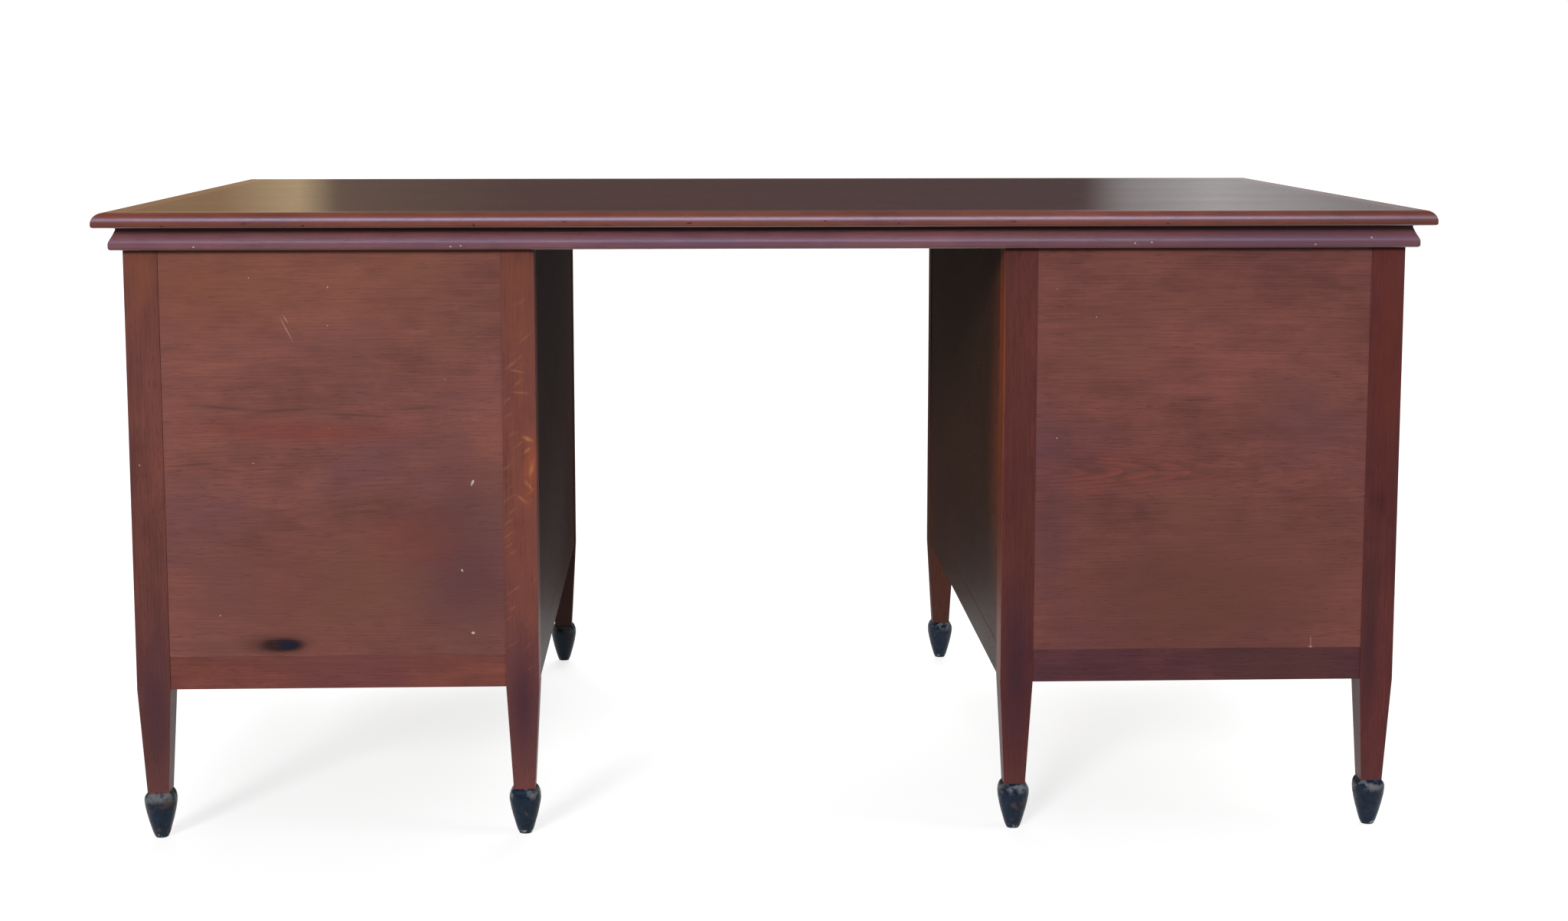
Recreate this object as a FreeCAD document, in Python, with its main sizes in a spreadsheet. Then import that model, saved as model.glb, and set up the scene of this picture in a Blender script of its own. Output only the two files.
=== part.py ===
import FreeCAD, Part
import Sketcher
import os
import re

# Driving sizes of the desk in millimetres. A name that ends in share is a plain ratio.
SIZES = {
    # overall
    "top_width": 1590,
    "top_depth": 1000,
    "overall_height": 765,
    "top_thickness": 18,
    "top_overhang": 30,
    # moulded lipping of the top
    "lipping_width": 36,
    "nose_upper_radius": 13,
    "nose_lower_radius": 3.5,
    # frame under the top, its outer edge worked as a moulding
    "frame_height": 27,
    "frame_rail_width": 70,
    "bearer_width": 60,
    "moulding_projection": 14,
    "moulding_neck": 7.5,
    "moulding_fillet": 3,
    "moulding_cove_radius": 80,
    "moulding_bulge_radius": 9,
    "moulding_bulge_inset": 1,
    "moulding_bulge_height": 11.1,
    "moulding_lip_height": 7,
    "moulding_lip_radius": 3.5,
    # pedestal carcass
    "pedestal_width": 484,
    "underside": 188,
    "leg_width": 40,
    "leg_neck_width": 26,
    "panel_thickness": 12,
    "panel_recess": 1,
    "tongue_thickness": 6,
    "groove_depth": 8,
    "bottom_rail_height": 40,
    "rail_thickness": 20,
    "tenon_thickness": 10,
    "tenon_length": 20,
    "tenon_shoulder": 5,
    "board_thickness": 9,
    "board_rise": 12,
    "board_groove_depth": 6,
    "board_notch_gap": 1,
    # spade feet
    "foot_height": 58,
    "foot_width": 38.5,
    "foot_pin_radius": 7,
    "foot_pin_length": 25,
    # drawer openings, runners and stops
    "drawer_rail_height": 18,
    "drawer_rail_depth": 60,
    "stub_length": 12,
    "stub_inset": 12,
    "stub_width": 18,
    "stub_shoulder": 3,
    "drawer_step": 20,
    "runner_overlap": 16,
    "guide_height": 14,
    "guide_gap": 0.5,
    "stop_length": 32,
    "stop_depth": 14,
    "stop_height": 6,
    "stop_offset": 110,
    "stop_gap": 0.3,
    # drawers
    "drawer_gap": 1.5,
    "slide_gap": 0.3,
    "drawer_length": 700,
    "drawer_front_thickness": 20,
    "drawer_side_thickness": 10,
    "drawer_side_drop": 4,
    "drawer_back_thickness": 10,
    "drawer_back_drop": 8,
    "drawer_bottom_thickness": 5,
    "drawer_bottom_inset": 12,
    "drawer_groove_depth": 5,
    "dovetail_lap": 5,
    "dovetail_width_share": 0.2,
    "dovetail_slope_share": 0.17,
    # turned knobs
    "knob_radius": 16,
    "knob_projection": 26,
    "knob_head_thickness": 17,
    "knob_base_radius": 11,
    "knob_neck_radius": 6,
    "knob_spigot_radius": 5,
    "knob_spigot_length": 17,
    # countersunk wood screws
    "screw_radius": 2.2,
    "screw_head_radius": 4.4,
    "screw_head_height": 2.6,
    "screw_bite": 10,
    "screw_line": 20,
    "screw_end": 120,
    "screw_offset": 150,
    # how far a cutting block runs past the piece that it trims
    "overrun": 5,
}

# Places worked out from the driving sizes. Pedestal depths count from the plain back face.
LAYOUT = {
    "frame_under": "overall_height - top_thickness - frame_height",
    "top_under": "overall_height - top_thickness",
    "frame_inset": "top_overhang - moulding_projection",
    "frame_width": "top_width - 2 * frame_inset",
    "frame_depth": "top_depth - 2 * frame_inset",
    "frame_inner": "frame_rail_width - moulding_projection",
    "pedestal_outer": "top_width / 2 - top_overhang",
    "pedestal_back": "top_depth / 2 - top_overhang",
    "pedestal_depth": "top_depth - 2 * top_overhang",
    "kneehole_half": "pedestal_outer - pedestal_width",
    "between_sides": "pedestal_depth - 2 * leg_width",
    "between_legs": "pedestal_width - 2 * leg_width",
    "rail_top": "underside + bottom_rail_height",
    "panel_height": "frame_under - rail_top",
    "panel_inner": "panel_recess + panel_thickness",
    "rail_inner": "panel_recess + rail_thickness",
    "tongue_inset": "panel_recess + panel_thickness / 2 - tongue_thickness / 2",
    "tenon_inset": "panel_recess + rail_thickness / 2 - tenon_thickness / 2",
    "tenon_height": "bottom_rail_height - 2 * tenon_shoulder",
    "clear_height": "panel_height - 3 * drawer_rail_height",
    "top_opening": "clear_height / 3 - drawer_step",
    "middle_opening": "clear_height / 3",
    "bottom_opening": "clear_height / 3 + drawer_step",
    "lower_divider": "rail_top + bottom_opening",
    "middle_floor": "lower_divider + drawer_rail_height",
    "upper_divider": "middle_floor + middle_opening",
    "top_floor": "upper_divider + drawer_rail_height",
    "top_rail": "top_floor + top_opening",
    "runner_inner": "leg_width + runner_overlap",
    "runner_length": "pedestal_depth - leg_width - drawer_rail_depth - panel_recess",
    "drawer_width": "between_legs - 2 * drawer_gap",
    "drawer_inner": "leg_width + drawer_gap + drawer_side_thickness",
    "drawer_inner_width": "drawer_width - 2 * drawer_side_thickness",
    "drawer_front_back": "panel_recess + drawer_front_thickness",
    "tail_length": "drawer_front_thickness - dovetail_lap",
    "tail_flare": "tail_length * dovetail_slope_share",
    "screw_length": "frame_height + screw_bite",
}

# Heights of the drawer openings: name, floor of the opening and its clear height.
LEVELS = [
    ("top", "top_floor", "top_opening"),
    ("middle", "middle_floor", "middle_opening"),
    ("bottom", "rail_top", "bottom_opening"),
]

# Drawer rails of a pedestal: name, lower face and height.
DRAWER_RAILS = [
    ("top_rail", "top_rail", "drawer_rail_height"),
    ("upper_divider", "upper_divider", "drawer_rail_height"),
    ("lower_divider", "lower_divider", "drawer_rail_height"),
    ("bottom_rail", "underside", "bottom_rail_height"),
]

# Heights of the dovetails as shares of a drawer side's height.
TAIL_SHARES = (0.2, 0.5, 0.8)

# Spade foot from toe to neck: shares of its height and greatest width, and how round it is (1 is a circle).
FOOT_RINGS = (
    (0.00, 0.39, 0.93),
    (0.05, 0.47, 0.93),
    (0.15, 0.58, 0.93),
    (0.30, 0.71, 0.93),
    (0.45, 0.83, 0.93),
    (0.60, 0.93, 0.93),
    (0.72, 0.99, 0.93),
    (0.80, 1.00, 0.88),
    (0.87, 0.965, 0.74),
    (0.93, 0.88, 0.50),
    (0.97, 0.78, 0.26),
)
FOOT_NECK_ROUNDNESS = 0.08

SIDES = ("left", "right")
EDGES = ("outer", "inner")
ENDS = ("back", "front")

doc = FreeCAD.newDocument("pedestal_desk")
sheet = doc.addObject("Spreadsheet::Sheet", "Sizes")
for row, (alias, number) in enumerate(SIZES.items(), start=1):
    sheet.set(f"A{row}", alias.replace("_", " "))
    sheet.set(f"B{row}", str(number))
    sheet.setAlias(f"B{row}", alias)
doc.recompute()

pieces = []


# Formulas


def spelled(text, word_for):
    """Write a formula out in driving sizes, each given by word_for."""
    def swap(match):
        word = match.group(0)
        if word in LAYOUT:
            return "(" + spelled(LAYOUT[word], word_for) + ")"
        return word_for(word) if word in SIZES else word
    return re.sub(r"[A-Za-z_]\w*", swap, text)


def formula(text):
    """The formula as an expression on the sheet."""
    return spelled(text, lambda word: "Sizes." + word)


def value(text):
    """The formula's present value, for the first drawing of a sketch."""
    return FreeCAD.Units.Quantity(spelled(text, lambda word: str(sheet.get(word)))).Value


def bind(thing, **formulas):
    for name, text in formulas.items():
        thing.setExpression(name, formula(text))
    return thing


def seat(thing, x, y, z):
    for axis, text in zip("xyz", (x, y, z)):
        thing.setExpression("Placement.Base." + axis, formula(text))
    return thing


def turn(thing, axis, degrees):
    thing.Placement = FreeCAD.Placement(FreeCAD.Vector(), FreeCAD.Rotation(FreeCAD.Vector(*axis), degrees))
    return thing


# Basic shapes


def add(kind, label):
    thing = doc.addObject(kind, label)
    thing.Label = label
    return thing


def block(label, x, y, z, dx, dy, dz):
    thing = bind(add("Part::Box", label), Length=dx, Width=dy, Height=dz)
    return seat(thing, x, y, z)


def rod(label, radius, height):
    return bind(add("Part::Cylinder", label), Radius=radius, Height=height)


def cone(label, low_radius, high_radius, height):
    return bind(add("Part::Cone", label), Radius1=low_radius, Radius2=high_radius, Height=height)


def join(label, parts):
    if len(parts) == 1:
        return parts[0]
    thing = add("Part::MultiFuse", label)
    thing.Shapes = parts
    thing.Refine = True
    return thing


def cut(label, base, tools):
    thing = add("Part::Cut", label)
    thing.Base = base
    thing.Tool = join(label + "_cutter", tools)
    thing.Refine = True
    return thing


def group(label, parts):
    thing = add("Part::Compound", label)
    thing.Links = parts
    return thing


def keep(thing):
    pieces.append(thing)
    return thing


# Places inside a pedestal: a counts from its outer face, b from its back face


def across(edge, start, run):
    return start if edge == "outer" else f"pedestal_width - ({start}) - ({run})"


def along(end, start, run):
    return start if end == "back" else f"pedestal_depth - ({start}) - ({run})"


def desk_x(side, a, run="0"):
    return f"({a}) - pedestal_outer" if side == "left" else f"pedestal_outer - ({a}) - ({run})"


def desk_y(b):
    return f"({b}) - pedestal_back"


def part_block(side, label, a, b, z, da, db, dz):
    return block(f"{side}_{label}", desk_x(side, a, da), desk_y(b), z, da, db, dz)


# Moulded bars with mitred ends


def outline(sketch, section):
    """Closed outline through the corners of a section, with its round and hollow edges."""
    points = [FreeCAD.Vector(value(u), value(v), 0) for u, v, _, _ in section]
    following = points[1:] + points[:1]
    ends = []
    for start, end, (_, _, form, radius) in zip(points, following, section):
        if form == "straight":
            sketch.addGeometry(Part.LineSegment(start, end), False)
            ends.append((1, 2))
            continue
        chord = end - start
        sagitta = value(radius) - (value(radius) ** 2 - chord.Length ** 2 / 4) ** 0.5
        outwards = FreeCAD.Vector(chord.y, -chord.x, 0).normalize() * sagitta
        middle = (start + end) / 2
        middle = middle + outwards if form == "round" else middle - outwards
        sketch.addGeometry(Part.Arc(start, middle, end), False)
        ends.append((1, 2) if form == "round" else (2, 1))
    for index, (first, last) in enumerate(ends):
        after = (index + 1) % len(ends)
        sketch.addConstraint(Sketcher.Constraint("Coincident", index, last, after, ends[after][0]))
        u, v, form, radius = section[index]
        for kind, text, axis in (("DistanceX", u, -2), ("DistanceY", v, -1)):
            if text == "0":
                sketch.addConstraint(Sketcher.Constraint("PointOnObject", index, first, axis))
                continue
            distance = Sketcher.Constraint(kind, -1, 1, index, first, value(text))
            drive(sketch, distance, f"{kind}_{index}", text)
        if form != "straight":
            drive(sketch, Sketcher.Constraint("Radius", index, value(radius)), f"Radius_{index}", radius)


def drive(sketch, constraint, name, text):
    place = sketch.addConstraint(constraint)
    sketch.renameConstraint(place, name)
    sketch.setExpression("Constraints." + name, formula(text))


def moulded_bar(label, section, length):
    """A bar along X whose outer edge lies on the X axis and whose body lies towards +Y."""
    body = add("PartDesign::Body", label + "_bar")
    plane = next(item for item in body.Origin.OriginFeatures if item.Role == "YZ_Plane")
    sketch = body.newObject("Sketcher::SketchObject", label + "_profile")
    sketch.AttachmentSupport = (plane, "")
    sketch.MapMode = "FlatFace"
    outline(sketch, section)
    pad = body.newObject("PartDesign::Pad", label + "_length")
    pad.Profile = sketch
    pad.SideType = "Symmetric"
    bind(pad, Length=length)
    doc.recompute()
    return body


def mitred_bar(label, side, section, length, width, height, x, y, z):
    """The bar for one side of the desk, cut at 45 degrees from its outer corners."""
    bar = moulded_bar(label, section, length)
    cutters = []
    for name, end in (("start", f"-({length}) / 2"), ("finish", f"({length}) / 2")):
        cutter = turn(add("Part::Box", f"{label}_mitre_{name}"), (0, 0, 1), 45)
        bind(cutter, Length=f"2 * ({width})", Width=f"2 * ({width})", Height=f"({height}) + 2 * overrun")
        cutters.append(seat(cutter, end, "0", "-overrun"))
    piece = turn(cut(label, bar, cutters), (0, 0, 1), TURN_SHARES[side] * 360)
    return seat(piece, x, y, z)


# The four sides, each as its share of a full turn from the plain back, which faces -Y.
TURN_SHARES = {"back": 0.0, "right": 0.25, "front": 0.5, "left": 0.75}

# Sections of the moulded bars: distance in from the outer edge, height, and the curve that follows.
LIPPING_SECTION = [
    ("lipping_width", "0", "straight", ""),
    ("lipping_width", "top_thickness", "straight", ""),
    ("nose_upper_radius", "top_thickness", "round", "nose_upper_radius"),
    ("0", "top_thickness - nose_upper_radius", "straight", ""),
    ("0", "nose_lower_radius", "round", "nose_lower_radius"),
    ("nose_lower_radius", "0", "straight", ""),
]
MOULDING_SECTION = [
    ("frame_rail_width", "0", "straight", ""),
    ("frame_rail_width", "frame_height", "straight", ""),
    ("moulding_neck", "frame_height", "straight", ""),
    ("moulding_neck", "frame_height - moulding_fillet", "hollow", "moulding_cove_radius"),
    ("moulding_bulge_inset", "moulding_bulge_height", "round", "moulding_bulge_radius"),
    ("0", "moulding_lip_height", "straight", ""),
    ("0", "moulding_lip_radius", "round", "moulding_lip_radius"),
    ("moulding_lip_radius", "0", "straight", ""),
]


def ring_place(side, half_width, half_depth):
    """Where the middle of a side's outer edge lies."""
    return {
        "back": ("0", f"-({half_depth})"),
        "right": (half_width, "0"),
        "front": ("0", half_depth),
        "left": (f"-({half_width})", "0"),
    }[side]


# Screws, each driven upwards from z


def screw(label, x, y, z):
    head = seat(cone(label + "_head", "screw_head_radius", "screw_radius", "screw_head_height"), x, y, z)
    shank = seat(rod(label + "_shank", "screw_radius", "screw_length"), x, y, z)
    return join(label, [head, shank])


def frame_screws():
    found = []
    rail_line = "top_depth / 2 - frame_inset - frame_rail_width + screw_line"
    side_line = "top_width / 2 - frame_inset - frame_rail_width + screw_line"
    for end, y in (("back", f"-({rail_line})"), ("front", rail_line)):
        for side, sign in (("left", "-"), ("right", "")):
            label = f"{end}_rail_screw_{side}"
            found.append(screw(label, f"{sign}(kneehole_half - screw_end)", y, "frame_under"))
    for side, x in (("left", f"-({side_line})"), ("right", side_line)):
        bearer_line = desk_x(side, across("inner", "bearer_width / 2", "0"))
        for end, y in (("back", "-screw_offset"), ("front", "screw_offset")):
            found.append(screw(f"{side}_rail_screw_{end}", x, y, "frame_under"))
            found.append(screw(f"{side}_bearer_screw_{end}", bearer_line, y, "frame_under"))
        for edge in EDGES:
            cleat_x = desk_x(side, across(edge, "panel_inner / 2 + runner_inner / 2", "0"))
            for end, start in (("back", "screw_end"), ("front", "runner_length - screw_end")):
                cleat_y = desk_y(f"leg_width + {start}")
                found.append(screw(f"{side}_{edge}_cleat_screw_{end}", cleat_x, cleat_y, "top_rail"))
    return found


screws = keep(group("wood_screws", frame_screws()))


# Top and frame


board = block(
    "top_board",
    "lipping_width - top_width / 2",
    "lipping_width - top_depth / 2",
    "top_under",
    "top_width - 2 * lipping_width",
    "top_depth - 2 * lipping_width",
    "top_thickness",
)
keep(cut("top_panel", board, [screws]))

for side in TURN_SHARES:
    lengthwise = side in ENDS
    x, y = ring_place(side, "top_width / 2", "top_depth / 2")
    length = "top_width" if lengthwise else "top_depth"
    keep(mitred_bar(
        f"top_lipping_{side}", side, LIPPING_SECTION, length,
        "lipping_width", "top_thickness", x, y, "top_under",
    ))
    x, y = ring_place(side, "frame_width / 2", "frame_depth / 2")
    length = "frame_width" if lengthwise else "frame_depth"
    rail = mitred_bar(
        f"{side}_rail_blank", side, MOULDING_SECTION, length,
        "frame_rail_width", "frame_height", x, y, "frame_under",
    )
    keep(cut(f"frame_rail_{side}", rail, [screws]))

for side in SIDES:
    bearer = part_block(
        side, "bearer_blank",
        across("inner", "0", "bearer_width"), "frame_inner", "frame_under",
        "bearer_width", "pedestal_depth - 2 * frame_inner", "frame_height",
    )
    keep(cut(f"frame_bearer_{side}", bearer, [screws]))


# Spade feet


def rounded_square(half, roundness, height):
    """A square with rounded corners, as a wire at the given height."""
    corner = half * roundness
    flat = half - corner
    swing = corner / 2 ** 0.5
    edges = []
    for quarter in range(4):
        turned = FreeCAD.Rotation(FreeCAD.Vector(0, 0, 1), 90 * quarter)
        low = FreeCAD.Vector(half, -flat, height)
        high = FreeCAD.Vector(half, flat, height)
        middle = FreeCAD.Vector(flat + swing, flat + swing, height)
        last = FreeCAD.Vector(flat, half, height)
        low, high, middle, last = [turned.multVec(point) for point in (low, high, middle, last)]
        edges.append(Part.makeLine(low, high))
        edges.append(Part.Arc(high, middle, last).toShape())
    return Part.Wire(edges)


def foot_shape():
    """Spade foot: round from toe to belly, a sloping shoulder up to the square neck, and a round pin."""
    half = sheet.get("foot_width") / 2
    height = sheet.get("foot_height")
    rings = []
    for rise_share, width_share, roundness in FOOT_RINGS:
        rings.append(rounded_square(half * width_share, roundness, height * rise_share))
    rings.append(rounded_square(sheet.get("leg_neck_width") / 2, FOOT_NECK_ROUNDNESS, height))
    spade = Part.makeLoft(rings, True, False)
    pin_radius = sheet.get("foot_pin_radius")
    pin_length = sheet.get("foot_pin_length")
    pin = Part.makeCylinder(pin_radius, pin_length, FreeCAD.Vector(0, 0, height))
    return spade.fuse(pin).removeSplitter()


foot_master = foot_shape()
feet = []


def foot(label, x, y):
    thing = add("Part::Feature", label)
    thing.Shape = foot_master.copy()
    feet.append(seat(thing, x, y, "0"))


# Pedestals


def side_parts(side, edge):
    """Side panel, its bottom rail and the tongue and tenon that enter the legs."""
    name = f"{edge}_side"
    field = part_block(
        side, name + "_field",
        across(edge, "panel_recess", "panel_thickness"), "leg_width", "rail_top",
        "panel_thickness", "between_sides", "panel_height",
    )
    tongue = part_block(
        side, name + "_tongue",
        across(edge, "tongue_inset", "tongue_thickness"), "leg_width - groove_depth",
        "rail_top - groove_depth",
        "tongue_thickness", "between_sides + 2 * groove_depth", "panel_height + groove_depth",
    )
    rail = part_block(
        side, name + "_rail_body",
        across(edge, "panel_recess", "rail_thickness"), "leg_width", "underside",
        "rail_thickness", "between_sides", "bottom_rail_height",
    )
    tenon = part_block(
        side, name + "_tenon",
        across(edge, "tenon_inset", "tenon_thickness"), "leg_width - tenon_length",
        "underside + tenon_shoulder",
        "tenon_thickness", "between_sides + 2 * tenon_length", "tenon_height",
    )
    return field, tongue, rail, tenon


def back_parts(side):
    """The same for the plain back between the two back legs."""
    field = part_block(
        side, "back_field", "leg_width", "panel_recess", "rail_top",
        "between_legs", "panel_thickness", "panel_height",
    )
    tongue = part_block(
        side, "back_tongue", "leg_width - groove_depth", "tongue_inset", "rail_top - groove_depth",
        "between_legs + 2 * groove_depth", "tongue_thickness", "panel_height + groove_depth",
    )
    rail = part_block(
        side, "back_rail_body", "leg_width", "panel_recess", "underside",
        "between_legs", "rail_thickness", "bottom_rail_height",
    )
    tenon = part_block(
        side, "back_tenon", "leg_width - tenon_length", "tenon_inset", "underside + tenon_shoulder",
        "between_legs + 2 * tenon_length", "tenon_thickness", "tenon_height",
    )
    return field, tongue, rail, tenon


def bottom_board(side):
    """Dust board held in grooves of the four bottom rails and notched round the legs."""
    start = "rail_inner - board_groove_depth"
    lip = "(panel_recess + drawer_rail_depth - board_groove_depth)"
    blank = part_block(
        side, "board_blank", start, start, "underside + board_rise",
        f"pedestal_width - 2 * ({start})",
        f"pedestal_depth - ({start}) - leg_width - board_notch_gap",
        "board_thickness",
    )
    notch = "leg_width + board_notch_gap"
    notches = [part_block(
        side, "front_notch", "leg_width - board_notch_gap", along("front", "0", lip), "underside",
        "between_legs + 2 * board_notch_gap", lip, "bottom_rail_height",
    )]
    for edge in EDGES:
        notches.append(part_block(
            side, f"{edge}_notch", across(edge, "0", notch), "0", "underside",
            notch, notch, "bottom_rail_height",
        ))
    return keep(cut(f"{side}_bottom_board", blank, notches))


def drawer_rail(side, name, z, height, dust_board):
    rail = part_block(
        side, name + "_body", "leg_width", along("front", "panel_recess", "drawer_rail_depth"), z,
        "between_legs", "drawer_rail_depth", height,
    )
    stub = part_block(
        side, name + "_stub", "leg_width - stub_length", along("front", "stub_inset", "stub_width"),
        f"{z} + stub_shoulder",
        "between_legs + 2 * stub_length", "stub_width", f"{height} - 2 * stub_shoulder",
    )
    whole = join(f"{side}_{name}_whole", [rail, stub])
    if name == "bottom_rail":
        whole = cut(f"{side}_{name}_grooved", whole, [dust_board])
    return whole, stub


def leg(side, edge, end, tools):
    """Square post that tapers below the box to the neck of its foot."""
    name = f"{end}_{edge}"
    a = across(edge, "0", "leg_width")
    b = along(end, "0", "leg_width")
    post = part_block(
        side, name + "_post", a, b, "underside", "leg_width", "leg_width", "frame_under - underside",
    )
    taper = turn(add("Part::Wedge", f"{side}_{name}_taper"), (1, 0, 0), 90)
    low, high = "leg_width / 2 - leg_neck_width / 2", "leg_width / 2 + leg_neck_width / 2"
    bind(taper, Xmin=low, Xmax=high, Zmin=low, Zmax=high, Ymin="0", Ymax="underside - foot_height")
    bind(taper, X2min="0", X2max="leg_width", Z2min="0", Z2max="leg_width")
    seat(taper, desk_x(side, a, "leg_width"), desk_y(f"{b} + leg_width"), "foot_height")
    middle_x = desk_x(side, f"{a} + leg_width / 2")
    middle_y = desk_y(f"{b} + leg_width / 2")
    bore = rod(f"{side}_{name}_bore", "foot_pin_radius", "foot_pin_length")
    seat(bore, middle_x, middle_y, "foot_height")
    foot(f"{side}_{name}_foot", middle_x, middle_y)
    blank = join(f"{side}_{name}_leg_blank", [post, taper])
    keep(cut(f"{side}_leg_{name}", blank, tools + [bore]))


def runner_strips(side, edge):
    """Runner and guide of each drawer on one side of a pedestal."""
    strips = []
    for name, floor, _ in LEVELS:
        start = "rail_inner" if name == "bottom" else "panel_inner"
        width = f"runner_inner - {start}"
        strips.append(part_block(
            side, f"{edge}_{name}_runner", across(edge, start, width), "leg_width",
            f"{floor} - drawer_rail_height", width, "runner_length", "drawer_rail_height",
        ))
        width = "leg_width - guide_gap - panel_inner"
        strips.append(part_block(
            side, f"{edge}_{name}_guide", across(edge, "panel_inner", width), "leg_width", floor,
            width, "between_sides", "guide_height",
        ))
    return strips


def cleat(side, edge):
    width = "runner_inner - panel_inner"
    blank = part_block(
        side, f"{edge}_cleat_blank", across(edge, "panel_inner", width), "leg_width", "top_rail",
        width, "runner_length", "drawer_rail_height",
    )
    return cut(f"{side}_{edge}_cleat", blank, [screws])


def stop_blocks(side):
    blocks = []
    for name, floor, _ in LEVELS:
        for spot, sign in (("outer", "-"), ("inner", "+")):
            blocks.append(part_block(
                side, f"{name}_{spot}_stop", f"pedestal_width / 2 {sign} stop_offset - stop_length / 2",
                along("front", "drawer_front_back + stop_gap", "stop_depth"), floor,
                "stop_length", "stop_depth", "stop_height",
            ))
    return blocks


# Drawers


def knob(side, level, height):
    """Turned knob whose spigot enters the drawer front."""
    label = f"{side}_{level}_drawer_knob"
    x = desk_x(side, "pedestal_width / 2")
    face = "pedestal_back - panel_recess"
    spigot = turn(rod(label + "_spigot", "knob_spigot_radius", "knob_spigot_length"), (1, 0, 0), -90)
    seat(spigot, x, f"{face} - knob_spigot_length", height)
    neck_length = "knob_projection - knob_head_thickness / 2"
    neck = turn(cone(label + "_neck", "knob_base_radius", "knob_neck_radius", neck_length), (1, 0, 0), -90)
    seat(neck, x, face, height)
    head = turn(add("Part::Ellipsoid", label + "_head"), (1, 0, 0), -90)
    bind(head, Radius1="knob_head_thickness / 2", Radius2="knob_radius", Radius3="knob_radius")
    seat(head, x, f"{face} + {neck_length}", height)
    keep(join(label, [spigot, neck, head]))
    return spigot


def drawer(side, level, floor, opening):
    """Front, dovetailed box and knob of one drawer."""
    label = f"{side}_{level}_drawer"
    under = f"{floor} + slide_gap"
    side_height = f"({opening} - slide_gap - drawer_gap - drawer_side_drop)"
    tail_width = f"({side_height} * dovetail_width_share)"
    panel_z = f"{under} + drawer_bottom_inset"
    panel = part_block(
        side, f"{level}_drawer_bottom", "drawer_inner - drawer_groove_depth",
        along("front", "drawer_front_back - drawer_groove_depth",
              "drawer_length - drawer_front_thickness + drawer_groove_depth"),
        panel_z,
        "drawer_inner_width + 2 * drawer_groove_depth",
        "drawer_length - drawer_front_thickness + drawer_groove_depth",
        "drawer_bottom_thickness",
    )
    back = part_block(
        side, f"{level}_drawer_back", "drawer_inner",
        along("front", "panel_recess + drawer_length - drawer_back_thickness", "drawer_back_thickness"),
        f"{panel_z} + drawer_bottom_thickness",
        "drawer_inner_width", "drawer_back_thickness",
        f"{side_height} - drawer_bottom_inset - drawer_bottom_thickness - drawer_back_drop",
    )
    box_parts = [panel, back]
    tails = []
    for edge in EDGES:
        a = across(edge, "leg_width + drawer_gap", "drawer_side_thickness")
        plank = part_block(
            side, f"{level}_drawer_{edge}_plank", a,
            along("front", "drawer_front_back", "drawer_length - drawer_front_thickness"), under,
            "drawer_side_thickness", "drawer_length - drawer_front_thickness", side_height,
        )
        own_tails = []
        for share in TAIL_SHARES:
            tail = add("Part::Wedge", f"{label}_{edge}_tail_{len(own_tails)}")
            bind(tail, Xmin="0", X2min="0", Xmax="drawer_side_thickness", X2max="drawer_side_thickness")
            bind(tail, Ymin="0", Ymax="tail_length", Z2min="0", Z2max=tail_width)
            bind(tail, Zmin="tail_flare", Zmax=f"{tail_width} - tail_flare")
            tail_x = desk_x(side, a, "drawer_side_thickness")
            tail_y = desk_y(along("front", "drawer_front_back", "0"))
            seat(tail, tail_x, tail_y, f"{under} + {side_height} * {share} - {tail_width} / 2")
            own_tails.append(tail)
        tails += own_tails
        tailed = join(f"{label}_{edge}_tailed", [plank] + own_tails)
        box_parts.append(cut(f"{label}_{edge}_side", tailed, [panel]))
    front = part_block(
        side, f"{level}_drawer_front_blank", "leg_width + drawer_gap",
        along("front", "panel_recess", "drawer_front_thickness"), f"{floor} + drawer_gap",
        "drawer_width", "drawer_front_thickness", f"{opening} - 2 * drawer_gap",
    )
    spigot = knob(side, level, f"{floor} + {opening} / 2")
    keep(cut(f"{label}_front", front, tails + [panel, spigot]))
    keep(group(f"{label}_box", box_parts))


stops = []
cleats = []
for side in SIDES:
    dust_board = bottom_board(side)
    tools = {}
    for edge in EDGES:
        field, tongue, rail, tenon = side_parts(side, edge)
        keep(join(f"{side}_{edge}_panel", [field, tongue]))
        whole = join(f"{side}_{edge}_rail_whole", [rail, tenon])
        keep(cut(f"{side}_{edge}_bottom_rail", whole, [tongue, dust_board]))
        tools[edge] = [tongue, tenon]
    field, tongue, rail, tenon = back_parts(side)
    keep(join(f"{side}_back_panel", [field, tongue]))
    whole = join(f"{side}_back_rail_whole", [rail, tenon])
    keep(cut(f"{side}_back_bottom_rail", whole, [tongue, dust_board]))
    tools["back"] = [tongue, tenon]
    rails = []
    tools["front"] = []
    for name, z, height in DRAWER_RAILS:
        whole, stub = drawer_rail(side, name, z, height, dust_board)
        rails.append(whole)
        tools["front"].append(stub)
    keep(group(f"{side}_drawer_rails", rails))
    for edge in EDGES:
        for end in ENDS:
            leg(side, edge, end, tools[edge] + tools[end])
    keep(group(f"{side}_drawer_runners", runner_strips(side, "outer") + runner_strips(side, "inner")))
    cleats += [cleat(side, edge) for edge in EDGES]
    stops += stop_blocks(side)
    for level, floor, opening in LEVELS:
        drawer(side, level, floor, opening)

keep(group("drawer_stops", stops))
keep(group("top_cleats", cleats))
keep(group("spade_feet", feet))
doc.recompute()

# Checks and files

for thing in doc.Objects:
    if "Invalid" in thing.State or "Error" in thing.State:
        raise RuntimeError(f"{thing.Label} was not built: {thing.State}")
for piece in pieces:
    if piece.Shape.isNull() or not piece.Shape.isValid():
        raise RuntimeError(f"{piece.Label} has no valid shape")

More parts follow.
